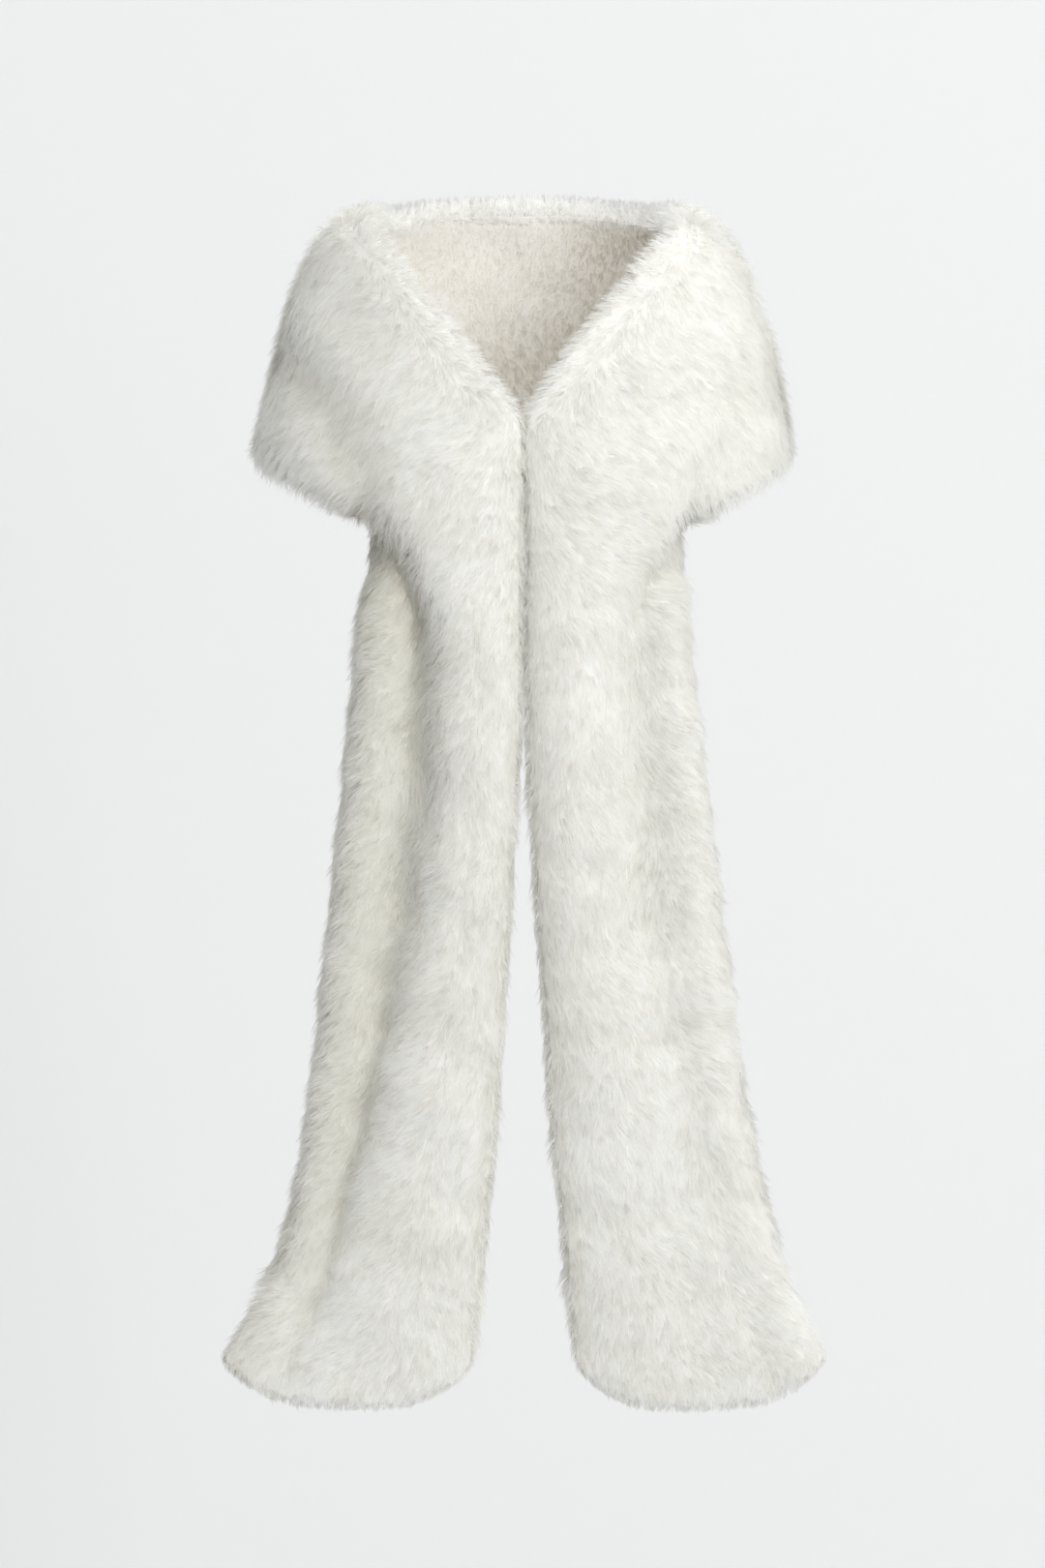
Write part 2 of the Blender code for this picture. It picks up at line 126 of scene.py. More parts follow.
# Cloth under the hair
INSET = 0.0155             # from the tip of the solid's edge to where the cloth's own edge starts to round
INNER_INSET = 0.0110       # the same at the edges that meet at the centre front
FACE = 0.0075              # pile side of the cloth, out from the middle of the solid's wall
REVERSE = 0.0090           # reverse side, in from it
HEM_STEPS = np.array([0.0, 0.0007, 0.0026, 0.006])     # rows back from the hem, where it rounds off
RIM_ANGLES = np.radians([15.0, 45.0, 75.0])            # points on a quarter of a rounded edge
RIM = len(RIM_ANGLES)
ROW_STEP = 0.0078          # between rows of the fronts
LAPEL_COLUMNS = 26
ROLL_COLUMNS = 34
BACK_COLUMNS = 44

# Plush inside the back stretch
PLUSH_COLUMNS = 40
PLUSH_INSET = 0.0115, 0.016     # at the neck edge and at the hem
PLUSH_AWAY = 0.0132             # in from the middle of the back's wall
PLUSH_NECK = 0.0030, 0.012      # how much less at the neck edge, and how far from it
PLUSH_HALF = 0.0010             # half its thickness

# Hair
LOCKS_PER_AREA = 46000
PER_LOCK = 6
LIFT = 16.0                     # degrees off the cloth
FRONT_HAIR = 0.0265
BACK_HAIR = 0.027
FAR_RIM = 0.25                  # share of the hair that grows on the far half of a rim
NECK_LOCKS = 1700
NAP_LOCKS = 6500
NAP_PER_LOCK = 4
NAP_LIFT = 15.0
NAP_HAIR = 0.0075
RIPPLES = 9                     # sine waves in one set of ripples


def smooth(x):
    """Ease from 0 to 1 with level ends."""
    x = np.clip(x, 0.0, 1.0)
    return x * x * (3.0 - 2.0 * x)


def unit(v):
    """Vectors of length 1, along the last axis."""
    return v / np.maximum(np.linalg.norm(v, axis=-1, keepdims=True), 1e-12)


def dot(a, b):
    """Dot products of vectors along the last axis, which is kept."""
    return np.sum(a * b, axis=-1, keepdims=True)


def spline(points, where, at):
    """Cubic curve through the points, which lie at where, read at the places at. The slope at a point
    is the weighted mean of the slopes on its two sides."""
    tail = [1] * (points.ndim - 1)
    span = np.diff(where)
    rise = np.diff(points, axis=0) / span.reshape(-1, *tail)
    share = (span[:-1] / (span[:-1] + span[1:])).reshape(-1, *tail)
    slope = np.concatenate([rise[:1], rise[:-1] * (1.0 - share) + rise[1:] * share, rise[-1:]])
    k = np.clip(np.searchsorted(where, at, side="right") - 1, 0, len(span) - 1)
    u = ((at - where[k]) / span[k]).reshape(-1, *tail)
    width = span[k].reshape(-1, *tail)
    start = (2 * u**3 - 3 * u**2 + 1) * points[k] + (u**3 - 2 * u**2 + u) * width * slope[k]
    return start + (3 * u**2 - 2 * u**3) * points[k + 1] + (u**3 - u**2) * width * slope[k + 1]


EVEN = np.linspace(0.0, 1.0, DENSE)
DENSE_RINGS = spline(np.array(RINGS), np.linspace(0.0, 1.0, len(RINGS)), EVEN)


def drop_of(level):
    """Share of the way down the rings at which a level lies."""
    return np.interp(-level, -DENSE_RINGS[:, 0], EVEN)


def form(turn, drop):
    """Point on the form: a squared ellipse whose half axes are read from the rings."""
    level, half_width, front, back = (np.interp(drop, EVEN, DENSE_RINGS[:, k]) for k in range(4))
    sine, cosine = np.sin(turn), np.cos(turn)
    depth = np.where(cosine > 0.0, front, back)
    x = half_width * np.sign(sine) * np.abs(sine) ** SQUARENESS
    y = -depth * np.sign(cosine) * np.abs(cosine) ** SQUARENESS
    return np.stack([x, y, level], axis=-1)


def lengths_along(curve):
    """Length from the start of a line of points to each of them."""
    return np.concatenate([[0.0], np.cumsum(np.linalg.norm(np.diff(curve, axis=0), axis=1))])


def read_line(curve, places):
    """Points of a line at the given lengths from its start."""
    length = lengths_along(curve)
    return np.stack([np.interp(places, length, curve[:, k]) for k in range(3)], axis=1)


def read_across(curve, fold_at):
    """Points across the cloth, even on each side of the fold, from edge to edge less the inset."""
    end = lengths_along(curve)[-1] - INSET
    lapel = np.linspace(INNER_INSET, fold_at, LAPEL_COLUMNS, endpoint=False)
    return read_line(curve, np.concatenate([lapel, np.linspace(fold_at, end, ROLL_COLUMNS)]))


def bend(length, count):
    """A line that bends back with a fixed radius and then runs straight: how far out and back."""
    along = np.linspace(0.0, length, count)
    angle = np.minimum(along / TURN_RADIUS, FULL_TURN)
    straight = along - angle * TURN_RADIUS
    out = TURN_RADIUS * np.sin(angle) + straight * np.cos(angle)
    back = TURN_RADIUS * (1.0 - np.cos(angle)) + straight * np.sin(angle)
    return out, back


def cape_rib(row):
    """A rib that lies on the form, from the neck edge to the cape's hem, and may curl under there."""
    rib = dict(zip(RIB_COLUMNS, row))
    quarter = math.sin(min(rib["curl"] / TURN_RADIUS, 0.5 * math.pi))
    lowest = rib["hem_level"] + (TURN_RADIUS + 0.5 * PILE_WALL) * quarter
    turn = np.radians(rib["neck_turn"] + (rib["hem_turn"] - rib["neck_turn"]) * EVEN)
    neck, hem = drop_of(rib["neck_level"]), drop_of(lowest)
    line = form(turn, neck + (hem - neck) * EVEN)
    down = unit(line[-1] - line[-4])
    beside = form(turn[-1:] + 0.01, np.array([hem]))[0] - line[-1]
    inward = unit(np.cross(down, beside))
    inward *= -np.sign(inward @ (line[-1] * (1.0, 1.0, 0.0)))
    out, back = bend(rib["curl"], DENSE // 4)
    curl = line[-1] + out[1:, None] * down + back[1:, None] * inward
    line = np.concatenate([line, curl]) if rib["curl"] else line
    return read_across(line, lengths_along(line)[-1] - rib["roll"])


def panel_section(row):
    """A section of the hanging part: lapel, groove of the big fold, outer roll and turned-back edge.
    A cubic curve through knots, each a distance from the centre line and one behind the lapel's crest."""
    s = dict(zip(SECTION_COLUMNS, row))
    lapel = s["fold"] - s["inner"]
    turn = min(s["wrap"] / TURN_RADIUS, 0.5 * math.pi)
    side = s["outer"] - 0.5 * PILE_WALL * math.sin(turn) ** 2
    out, back = bend(s["wrap"], 5)
    edge = np.stack([side - TURN_RADIUS * math.sin(turn) + out, s["crest"] + back], axis=1)
    roll = edge[0, 0] - s["fold"]
    start = np.array([
        (s["inner"] + 0.003, 0.014),
        (s["inner"] + 0.012, 0.008),
        (s["inner"] + 0.42 * lapel, 0.0),
        (s["inner"] + 0.80 * lapel, 0.003),
        (s["fold"] - 0.004 * s["tuck"], s["drop"] + 0.006 * s["tuck"]),
    ])
    groove = np.array([
        (s["fold"] + 0.25 * roll, 0.6 * s["groove"] + 0.5 * s["drop"]),
        (s["fold"] + 0.50 * roll, s["groove"]),
    ])
    past = np.concatenate([groove, edge])
    step = np.arange(1, len(past) + 1)[:, None] / len(past)
    straight_back = start[-1] + step * (np.array([side, s["crest"] + s["wrap"]]) - start[-1])
    knots = np.concatenate([start, past + s["tuck"] * (straight_back - past)])
    line = spline(knots, np.linspace(0.0, 1.0, len(knots)), EVEN)
    share = np.clip((line[:, 0] - s["inner"]) / (side - s["inner"]), 0.0, 1.0)
    level = s["inner_level"] + (s["outer_level"] - s["inner_level"]) * share
    across = 2.0 * share**HEM_SKEW - 1.0
    corner = np.where(across < 0.0, INNER_CORNER, OUTER_CORNER)
    level -= s["sag"] * (1.0 - np.abs(across) ** corner)
    curve = np.stack([line[:, 0], line[:, 1] - s["front"], level], axis=1)
    fold_at = np.interp((len(start) - 1.0) / (len(knots) - 1.0), EVEN, lengths_along(curve))
    return read_across(curve, fold_at)


def front_middle(ribs, sections):
    """Middle surface of one front on the +X side: a cubic curve through the ribs and sections, row by
    row from the shoulder seam to the hem, with closer rows where the hem rounds off."""
    lines = np.array([cape_rib(row) for row in ribs] + [panel_section(row) for row in sections])
    between = np.linalg.norm(np.diff(lines, axis=0), axis=2).mean(axis=1)
    where = np.concatenate([[0.0], np.cumsum(between)])
    end = where[-1] - INSET + HEM_STEPS[-1]
    rows = np.linspace(0.0, end - HEM_STEPS[-1], int(end / ROW_STEP))
    return spline(lines, where, np.concatenate([rows, end - HEM_STEPS[-2::-1]]))


def back_middle(columns, start, end):
    """Middle surface of the back stretch: rows round the back, columns from neck edge to hem. It stands
    off the form by soft waves, and its edges rise or drop towards the centre back."""
    lines = []
    for turn in np.linspace(0.5 * math.pi, 1.5 * math.pi, BACK_ROWS):
        line = form(np.full(DENSE, turn), drop_of(SIDE_HEM) * EVEN)
        centre = math.cos(turn) ** 2
        line[:, 2] += centre * (BACK_NECK_RISE * (1.0 - EVEN) - BACK_HEM_DROP * EVEN)
        wave = BACK_WAVE_DEPTH * centre * math.cos(2.0 * BACK_WAVES * turn)
        line[:, 1] += wave * EVEN**2
        lines.append(read_line(line, np.linspace(start, lengths_along(line)[-1] - end, columns)))
    return np.array(lines)


def normals_of(grid, outward):
    """Unit normals of a grid, turned so that the middle one points along outward."""
    normal = unit(np.cross(np.gradient(grid, axis=0), np.gradient(grid, axis=1)))
    middle = normal[normal.shape[0] // 2, normal.shape[1] // 2]
    return normal * np.sign(middle @ np.array(outward))


def ripples(points, seed, lengths, depth):
    """Uneven soft troughs and ridges: a sum of sine waves that run in random directions, with the given
    range of wave lengths, as a height at each point."""
    rng = np.random.default_rng(seed)
    height = np.zeros(points.shape[:-1])
    for _ in range(RIPPLES):
        way = unit(rng.normal(size=3) * (1.0, 1.0, 1.3))
        size = rng.uniform(*lengths)
        height += np.sin(points @ way * 2.0 * math.pi / size + rng.uniform(0.0, 2.0 * math.pi))
    return depth * height / math.sqrt(RIPPLES)


def softened(grid, rows, columns):
    """The grid blurred along rows and columns by bell curves as wide as the given numbers of steps. Past
    an edge it goes on as its own point reflection, so the edges stay where they are."""
    for axis, width in ((0, rows), (1, columns)):
        reach = int(3.0 * width)
        bell = np.exp(-0.5 * (np.arange(-reach, reach + 1) / width) ** 2)
        lines = np.moveaxis(grid, axis, 0)
        before, after = 2.0 * lines[:1] - lines[reach:0:-1], 2.0 * lines[-1:] - lines[-2:-reach - 2:-1]
        longer = np.concatenate([before, lines, after])
        lines = sum(b * longer[k:k + len(lines)] for k, b in enumerate(bell / bell.sum()))
        grid = np.moveaxis(lines, 0, axis)
    return grid


def hollows(grid, normals, size):
    """How far each point of a grid lies under the softened grid, from 0 to 1 at the depth given as size. It sets
    how much shade is painted in the hollows.
    """
    return smooth(dot(softened(grid, 2.5, 2.5) - grid, normals)[..., 0] / size)


def near_line(points, line, reach):
    """1 on a line through places in the XZ plane, falling to 0 at reach from it."""
    line = np.array(line)
    here = points[..., None, [0, 2]]
    start, along = line[:-1], np.diff(line, axis=0)
    share = np.clip(np.sum((here - start) * along, axis=-1) / np.sum(along * along, axis=-1), 0.0, 1.0)
    away = np.linalg.norm(here - start - share[..., None] * along, axis=-1).min(axis=-1)
    return 1.0 - smooth(away / reach)


def loops_round(grid, normals, face, reverse, round_end):
    """Closed skin round a middle surface, one loop of points a row: left rim, pile side, right rim,
    reverse. The rims are half circles, and where the end is rounded the skin thins as a half circle."""
    full = np.ones(len(grid))
    if round_end:
        radius = 0.5 * (face + reverse)
        tip = np.clip(HEM_STEPS[::-1] / radius, 0.0, 1.0)
        full[-len(HEM_STEPS):] = np.maximum(np.sqrt(1.0 - (1.0 - tip) ** 2), 0.12)
    middle = 0.5 * (face - reverse)
    half = 0.5 * (face + reverse) * full
    outer = grid + normals * (middle + half)[:, None, None]
    inner = grid + normals * (middle - half)[:, None, None]
    sides = []
    for k, beside in ((0, 1), (-1, -2)):
        away = grid[:, k] - grid[:, beside]
        away = unit(away - dot(away, normals[:, k]) * normals[:, k])
        centre = (grid[:, k] + normals[:, k] * middle)[:, None]
        ring = [
            np.cos(a) * away[:, None] + np.sin(a) * normals[:, k][:, None]
            for a in np.concatenate([RIM_ANGLES, -RIM_ANGLES[::-1]])
        ]
        sides.append(centre + np.concatenate(ring, axis=1) * half[:, None, None])
    first, last = sides
    front, back = [outer, last[:, :RIM][:, ::-1]], [last[:, RIM:][:, ::-1], inner[:, ::-1]]
    return np.concatenate([first[:, :RIM]] + front + back + [first[:, RIM:]], axis=1)


def put_mesh(name, points, corners, sizes, uv=None, slots=None, normals=None, painted_shade=None):
    """Mesh from arrays: points, the corner indices of all faces in turn, each face's corner count and,
    where light should fall as on a smooth form, each point's normal, and the shade painted at each point."""
    mesh = bpy.data.meshes.new(name)
    mesh.vertices.add(len(points))
    mesh.vertices.foreach_set("co", points.astype(np.float32).ravel())
    mesh.loops.add(len(corners))
    mesh.loops.foreach_set("vertex_index", corners.astype(np.int32))
    mesh.polygons.add(len(sizes))
    starts = np.concatenate([[0], np.cumsum(sizes)[:-1]])
    mesh.polygons.foreach_set("loop_start", starts.astype(np.int32))
    if slots is not None:
        mesh.polygons.foreach_set("material_index", slots.astype(np.int32))
    if uv is not None:
        layer = mesh.uv_layers.new(name="lie")
        layer.data.foreach_set("uv", uv.astype(np.float32).ravel())
    if normals is not None:
        kept = mesh.attributes.new("custom_normal", "FLOAT_VECTOR", "POINT")
        kept.data.foreach_set("vector", normals.astype(np.float32).ravel())
    if painted_shade is not None:
        depth = mesh.attributes.new("painted_shade", "FLOAT", "POINT")
        depth.data.foreach_set("value", painted_shade.astype(np.float32).ravel())
    mesh.update(calc_edges=True)
    mesh.shade_smooth()
    made = bpy.data.objects.new(name, mesh)
    bpy.context.scene.collection.objects.link(made)
    return made


def skin(name, loops, painted_shade, two_sided):
    """Closed mesh of the loops, with a strip over each end. Where it is two sided, faces on the reverse
    take material 1. The shade painted into the colour is given on the pile side."""
    rows, around = loops.shape[:2]
    columns = painted_shade.shape[1]
    reverse_from, reverse_to = (columns + 2 * RIM, 2 * columns + 2 * RIM + 1) if two_sided else (0, 0)
    index = np.arange(rows * around).reshape(rows, around)
    after = np.roll(index, -1, axis=1)
    body = np.stack([index[:-1], after[:-1], after[1:], index[1:]], axis=-1).reshape(-1, 4)
    slots = np.tile((np.arange(around) >= reverse_from) & (np.arange(around) < reverse_to), rows - 1)
    k = np.arange(around // 2 - 1)
    ends = [
        np.stack([ring[k + 1], ring[k], ring[around - 1 - k], ring[around - 2 - k]], axis=1)[:, ::turn]
        for ring, turn in ((index[0], 1), (index[-1], -1))
    ]
    faces = np.concatenate([body] + ends)
    slots = np.concatenate([slots, np.zeros(2 * len(k), bool)])
    points = loops.reshape(-1, 3)
    p = points[faces]
    volume = np.sum(p[:, 0] * np.cross(p[:, 1], p[:, 2])) + np.sum(p[:, 0] * np.cross(p[:, 2], p[:, 3]))
    if volume < 0.0:
        faces = faces[:, ::-1]
    painted_shade = np.pad(painted_shade, ((0, 0), (RIM, around - RIM - columns)))
    return put_mesh(name, points, faces.ravel(), np.full(len(faces), 4), slots=slots, painted_shade=painted_shade)


def pile_side(loops, count):
    """The part of the loops that carries hair, in order: left rim, pile side and right rim, with the
    normals there, which point out of the skin."""
    along = np.gradient(loops, axis=0)
    across = np.roll(loops, -1, axis=1) - np.roll(loops, 1, axis=1)
    normal = unit(np.cross(along, across))
    order = np.arange(-RIM, count + 3 * RIM)
    points, normals = (np.take(grid, order, axis=1, mode="wrap") for grid in (loops, normal))
    outward = points[:, points.shape[1] // 2] - loops[:, -loops.shape[1] // 4]
    if np.sum(outward * normals[:, normals.shape[1] // 2]) < 0.0:
        normals = -normals
    return points, normals


def on_rims(painted_shade):
    """Values on the pile side, carried on over the rims that pile_side adds to it."""
    return np.pad(painted_shade, ((0, 0), (2 * RIM, 2 * RIM)), mode="edge")


def area_of(points):
    """Area of a grid."""
    return np.linalg.norm(np.cross(np.gradient(points, axis=0), np.gradient(points, axis=1)), axis=2).sum()


def strands(name, points, normals, sweep, lift, length, share, locks, per_lock, seed,
            radius=0.0036, width=0.0008, lit_as=None, painted_shade=None):
    """Hair on a grid, in locks. A lock's root is a random place on the grid, weighted by share. Its line
    is two straight steps, the first steeper than the lift and the second flatter, along the sweep. Its
    strands start within radius of the root and draw together a little towards the tip. A strand is a
    tapered ribbon of three triangles, lit as part of the coat: its normals are the cloth's, or those of
    lit_as, tipped a little."""
    rng = np.random.default_rng(seed)
    d1, d2 = points[1:, 1:] - points[:-1, :-1], points[1:, :-1] - points[:-1, 1:]
    weight = np.linalg.norm(np.cross(d1, d2), axis=2) * 0.5
    weight = (weight * share[:-1, :-1]).ravel()
    reach = np.cumsum(weight) / weight.sum()
    cell = np.minimum(np.searchsorted(reach, (np.arange(locks) + rng.random(locks)) / locks), len(reach) - 1)
    row, column = cell // (points.shape[1] - 1), cell % (points.shape[1] - 1)
    u, v = rng.random((2, locks, 1))

    def read(values):
        values = values if values.ndim == 3 else values[..., None]
        low = values[row, column] * (1 - v) + values[row, column + 1] * v
        high = values[row + 1, column] * (1 - v) + values[row + 1, column + 1] * v
        return low * (1 - u) + high * u

    # locks: root, turn, rise, length, tone and the shade painted at the root
    root, normal, way = read(points), unit(read(normals)), read(sweep)
    coat = normal if lit_as is None else unit(read(lit_as))
    root_painted_shade = read(np.zeros(share.shape) if painted_shade is None else painted_shade)
    rise, long = np.radians(read(lift)), read(length)
    way = unit(way - dot(way, normal) * normal)
    turn = np.radians(rng.normal(0.0, 8.0, (locks, 1)))
    way = np.cos(turn) * way + np.sin(turn) * np.cross(normal, way)
    rise = rise * rng.uniform(0.85, 1.15, (locks, 1)) + 0.30 * rng.random((locks, 1)) ** 6
    long = long * rng.uniform(0.85, 1.12, (locks, 1))
    shade = rng.random((locks, 1))

    # strands: root, way and length, then the line of three points
    every = np.repeat(np.arange(locks), per_lock)
    n = locks * per_lock
    root, normal, way, rise, long, shade, coat, root_painted_shade = (
        x[every] for x in (root, normal, way, rise, long, shade, coat, root_painted_shade)
    )
    beside = np.cross(normal, way)
    spread = radius * np.sqrt(rng.random((n, 1)))
    around = rng.uniform(0.0, 2.0 * math.pi, (n, 1))
    offset = spread * (np.cos(around) * way + np.sin(around) * beside)
    stray = np.radians(rng.normal(0.0, 6.0, (n, 1)))
    own = np.cos(stray) * way + np.sin(stray) * beside
    long = long * rng.uniform(0.85, 1.1, (n, 1))
    first, second = rise + 0.24, rise - 0.22 + rng.normal(0.0, 0.06, (n, 1))
    p0 = root + offset - 0.0015 * normal
    p1 = root + 0.92 * offset + 0.42 * long * (np.cos(first) * own + np.sin(first) * normal)
    p2 = p1 - 0.45 * offset + 0.58 * long * (np.cos(second) * own + np.sin(second) * normal)

    # ribbons: width, twist, normals and the places on the way from root to tip
    twist = np.radians(rng.normal(0.0, 16.0, (n, 1)))
    line = unit(p1 - p0)
    flat = unit(np.cross(line, coat))
    side = np.cos(twist) * flat + np.sin(twist) * np.cross(line, flat)
    wide = 0.5 * width * rng.uniform(0.7, 1.3, (n, 1))
    low, high = wide * side, 0.85 * wide * side
    verts = np.stack([p0 - low, p0 + low, p1 - high, p1 + high, p2], axis=1)
    lean = coat + rng.normal(0.0, 0.16, (n, 1)) * beside
    lit = unit(np.stack([lean - 0.15 * own] * 2 + [lean + 0.02 * own] * 2 + [lean + 0.12 * own], axis=1))
    base = 5 * np.arange(n)[:, None]
    corners = (base + np.array([[0, 1, 3, 0, 3, 2, 2, 3, 4]])).ravel()
    along = np.tile(np.array([0.0, 0.0, 0.5, 0.0, 0.5, 0.5, 0.5, 0.5, 1.0]), n)
    uv = np.stack([np.repeat(0.02 + 0.96 * shade[:, 0], 9), 0.02 + 0.96 * along], axis=1)
    made = put_mesh(
        name, verts.reshape(-1, 3), corners, np.full(3 * n, 3), uv=uv, normals=lit.reshape(-1, 3),
        painted_shade=np.repeat(root_painted_shade, 5),
    )
    made.visible_shadow = False            # pale hair hardly shades what is under it; the cloth does
    return made


# Finishes
THROUGH = 0.45                  # share of a strand's light that comes through from behind
# colour of the plush where shade is painted in fully
PLUSH_PAINTED_SHADE = (0.80, 0.77, 0.715)


def group(name, outputs, inputs):
    """A new shader node group with the named inputs, each a value or a colour, and the named outputs."""
    made = bpy.data.node_groups.new(name, "ShaderNodeTree")
    for label, value in inputs:
        kind = "NodeSocketFloat" if isinstance(value, float) else "NodeSocketColor"
        made.interface.new_socket(label, in_out="INPUT", socket_type=kind).default_value = value
    for label, kind in outputs:
        made.interface.new_socket(label, in_out="OUTPUT", socket_type=kind)
    return made, made.nodes.new("NodeGroupInput"), made.nodes.new("NodeGroupOutput")


def product(tree, a, b):
    """Product of two colours."""
    node = tree.nodes.new("ShaderNodeMix")
    node.data_type = "RGBA"
    node.blend_type = "MULTIPLY"
    node.inputs["Factor"].default_value = 1.0
    tree.links.new(a, node.inputs["A"])
    tree.links.new(b, node.inputs["B"])
    return node.outputs["Result"]


def drift_group():
    """Slow change of tint over the cloth, from two noises on object coordinates, from 0 to 1."""
    made, given, out = group("pile_drift", [("Drift", "NodeSocketFloat")], [("Large", 9.0), ("Small", 60.0)])
    place = made.nodes.new("ShaderNodeTexCoord")
    parts = []
    for label, detail in (("Large", 2.0), ("Small", 3.0)):
        noise = made.nodes.new("ShaderNodeTexNoise")
        noise.inputs["Detail"].default_value = detail
        made.links.new(place.outputs["Object"], noise.inputs["Vector"])
        made.links.new(given.outputs[label], noise.inputs["Scale"])
        parts.append(noise)
    mean = made.nodes.new("ShaderNodeMath")
    mean.operation = "ADD"
    made.links.new(parts[0].outputs["Fac"], mean.inputs[0])
    made.links.new(parts[1].outputs["Fac"], mean.inputs[1])
    halve = made.nodes.new("ShaderNodeMath")
    halve.operation = "MULTIPLY"
    halve.inputs[1].default_value = 0.5
    made.links.new(mean.outputs[0], halve.inputs[0])
    made.links.new(halve.outputs[0], out.inputs["Drift"])
    return made


def painted_shade_group():
    """Painted shade: a colour made warmer and darker by the shade value painted on the piece, down to Depth at 1.
    """
    made, given, out = group(
        "painted_shade_tint", [("Tinted", "NodeSocketColor")],
        [("Colour", (1.0, 1.0, 1.0, 1.0)), ("Depth", (0.85, 0.83, 0.78, 1.0)), ("Onset", 1.25)],
    )
    value = made.nodes.new("ShaderNodeAttribute")
    value.attribute_name = "painted_shade"
    rise = made.nodes.new("ShaderNodeMath")
    rise.operation = "POWER"
    made.links.new(value.outputs["Fac"], rise.inputs[0])
    made.links.new(given.outputs["Onset"], rise.inputs[1])
    tint = made.nodes.new("ShaderNodeMix")
    tint.data_type = "RGBA"
    tint.inputs["A"].default_value = (1.0, 1.0, 1.0, 1.0)
    made.links.new(rise.outputs[0], tint.inputs["Factor"])
    made.links.new(given.outputs["Depth"], tint.inputs["B"])
    made.links.new(product(made, given.outputs["Colour"], tint.outputs["Result"]), out.inputs["Tinted"])
    return made


def nap_group():
    """Fine uneven height of short dense hair, from one noise on object coordinates."""
    made, given, out = group("fine_nap", [("Height", "NodeSocketFloat")], [("Scale", 260.0), ("Detail", 4.0)])
    place = made.nodes.new("ShaderNodeTexCoord")
    noise = made.nodes.new("ShaderNodeTexNoise")
    made.links.new(place.outputs["Object"], noise.inputs["Vector"])
    made.links.new(given.outputs["Scale"], noise.inputs["Scale"])
    made.links.new(given.outputs["Detail"], noise.inputs["Detail"])
    made.links.new(noise.outputs["Fac"], out.inputs["Height"])
    return made


DRIFT = drift_group()
PAINTED_SHADE_GROUP = painted_shade_group()
FINE_NAP = nap_group()


def ramp(tree, source, stops):
    """Colour ramp fed by a value: each stop is a place and a colour."""
    node = tree.nodes.new("ShaderNodeValToRGB")
    while len(node.color_ramp.elements) < len(stops):
        node.color_ramp.elements.new(0.5)
    for element, (place, colour) in zip(node.color_ramp.elements, stops):
        element.position = place
        element.color = (*colour, 1.0)
    tree.links.new(source, node.inputs["Fac"])
    return node.outputs["Color"]


def finish(name, roughness, sheen):
    """Material with an even roughness and sheen, its tree and its shader."""
    made = bpy.data.materials.new(name)
    made.use_nodes = True
    shader = made.node_tree.nodes["Principled BSDF"]
    shader.inputs["Roughness"].default_value = roughness
    shader.inputs["Sheen Weight"].default_value = sheen
    shader.inputs["Sheen Roughness"].default_value = 0.5
    shader.inputs["Specular IOR Level"].default_value = 0.25
    return made, made.node_tree, shader


def placed(tree, made, values):
    """The shared group as a node of this material, with its own values."""
    node = tree.nodes.new("ShaderNodeGroup")
    node.node_tree = made
    for label, value in values.items():
        node.inputs[label].default_value = value
    return node


def drift_in(tree, large, small):
    """Drift from 0 to 1 with the two given scales."""
    return placed(tree, DRIFT, {"Large": large, "Small": small}).outputs["Drift"]


def with_painted_shade(tree, colour, depth):
    """The colour with shade painted in: tinted down to depth by the piece's painted shade value, highest in its
    hollows.
    """
    node = placed(tree, PAINTED_SHADE_GROUP, {"Depth": (*depth, 1.0)})
    tree.links.new(colour, node.inputs["Colour"])
    return node.outputs["Tinted"]


def napped(tree, shader, scale, detail, strength, distance):
    """Bump of the fine nap on the shader's normal."""
    nap = placed(tree, FINE_NAP, {"Scale": scale, "Detail": detail})
    bump = tree.nodes.new("ShaderNodeBump")
    bump.inputs["Strength"].default_value = strength
    bump.inputs["Distance"].default_value = distance
    tree.links.new(nap.outputs["Height"], bump.inputs["Height"])
    tree.links.new(bump.outputs["Normal"], shader.inputs["Normal"])


def along_and_lock(tree):
    """The two values that each strand's UV map holds: the way from root to tip, and its lock's own."""
    lie = tree.nodes.new("ShaderNodeUVMap")
    lie.uv_map = "lie"
    split = tree.nodes.new("ShaderNodeSeparateXYZ")
    tree.links.new(lie.outputs["UV"], split.inputs["Vector"])
    return split.outputs["Y"], split.outputs["X"]


def let_through(tree, shader, colour, share):
    """Mix the shader with light that comes through from behind, as thin pale hair lets it."""
    behind = tree.nodes.new("ShaderNodeBsdfTranslucent")
    tree.links.new(colour, behind.inputs["Color"])
    both = tree.nodes.new("ShaderNodeMixShader")
    both.inputs[0].default_value = share
    tree.links.new(shader.outputs[0], both.inputs[1])
    tree.links.new(behind.outputs[0], both.inputs[2])
    tree.links.new(both.outputs[0], tree.nodes["Material Output"].inputs["Surface"])


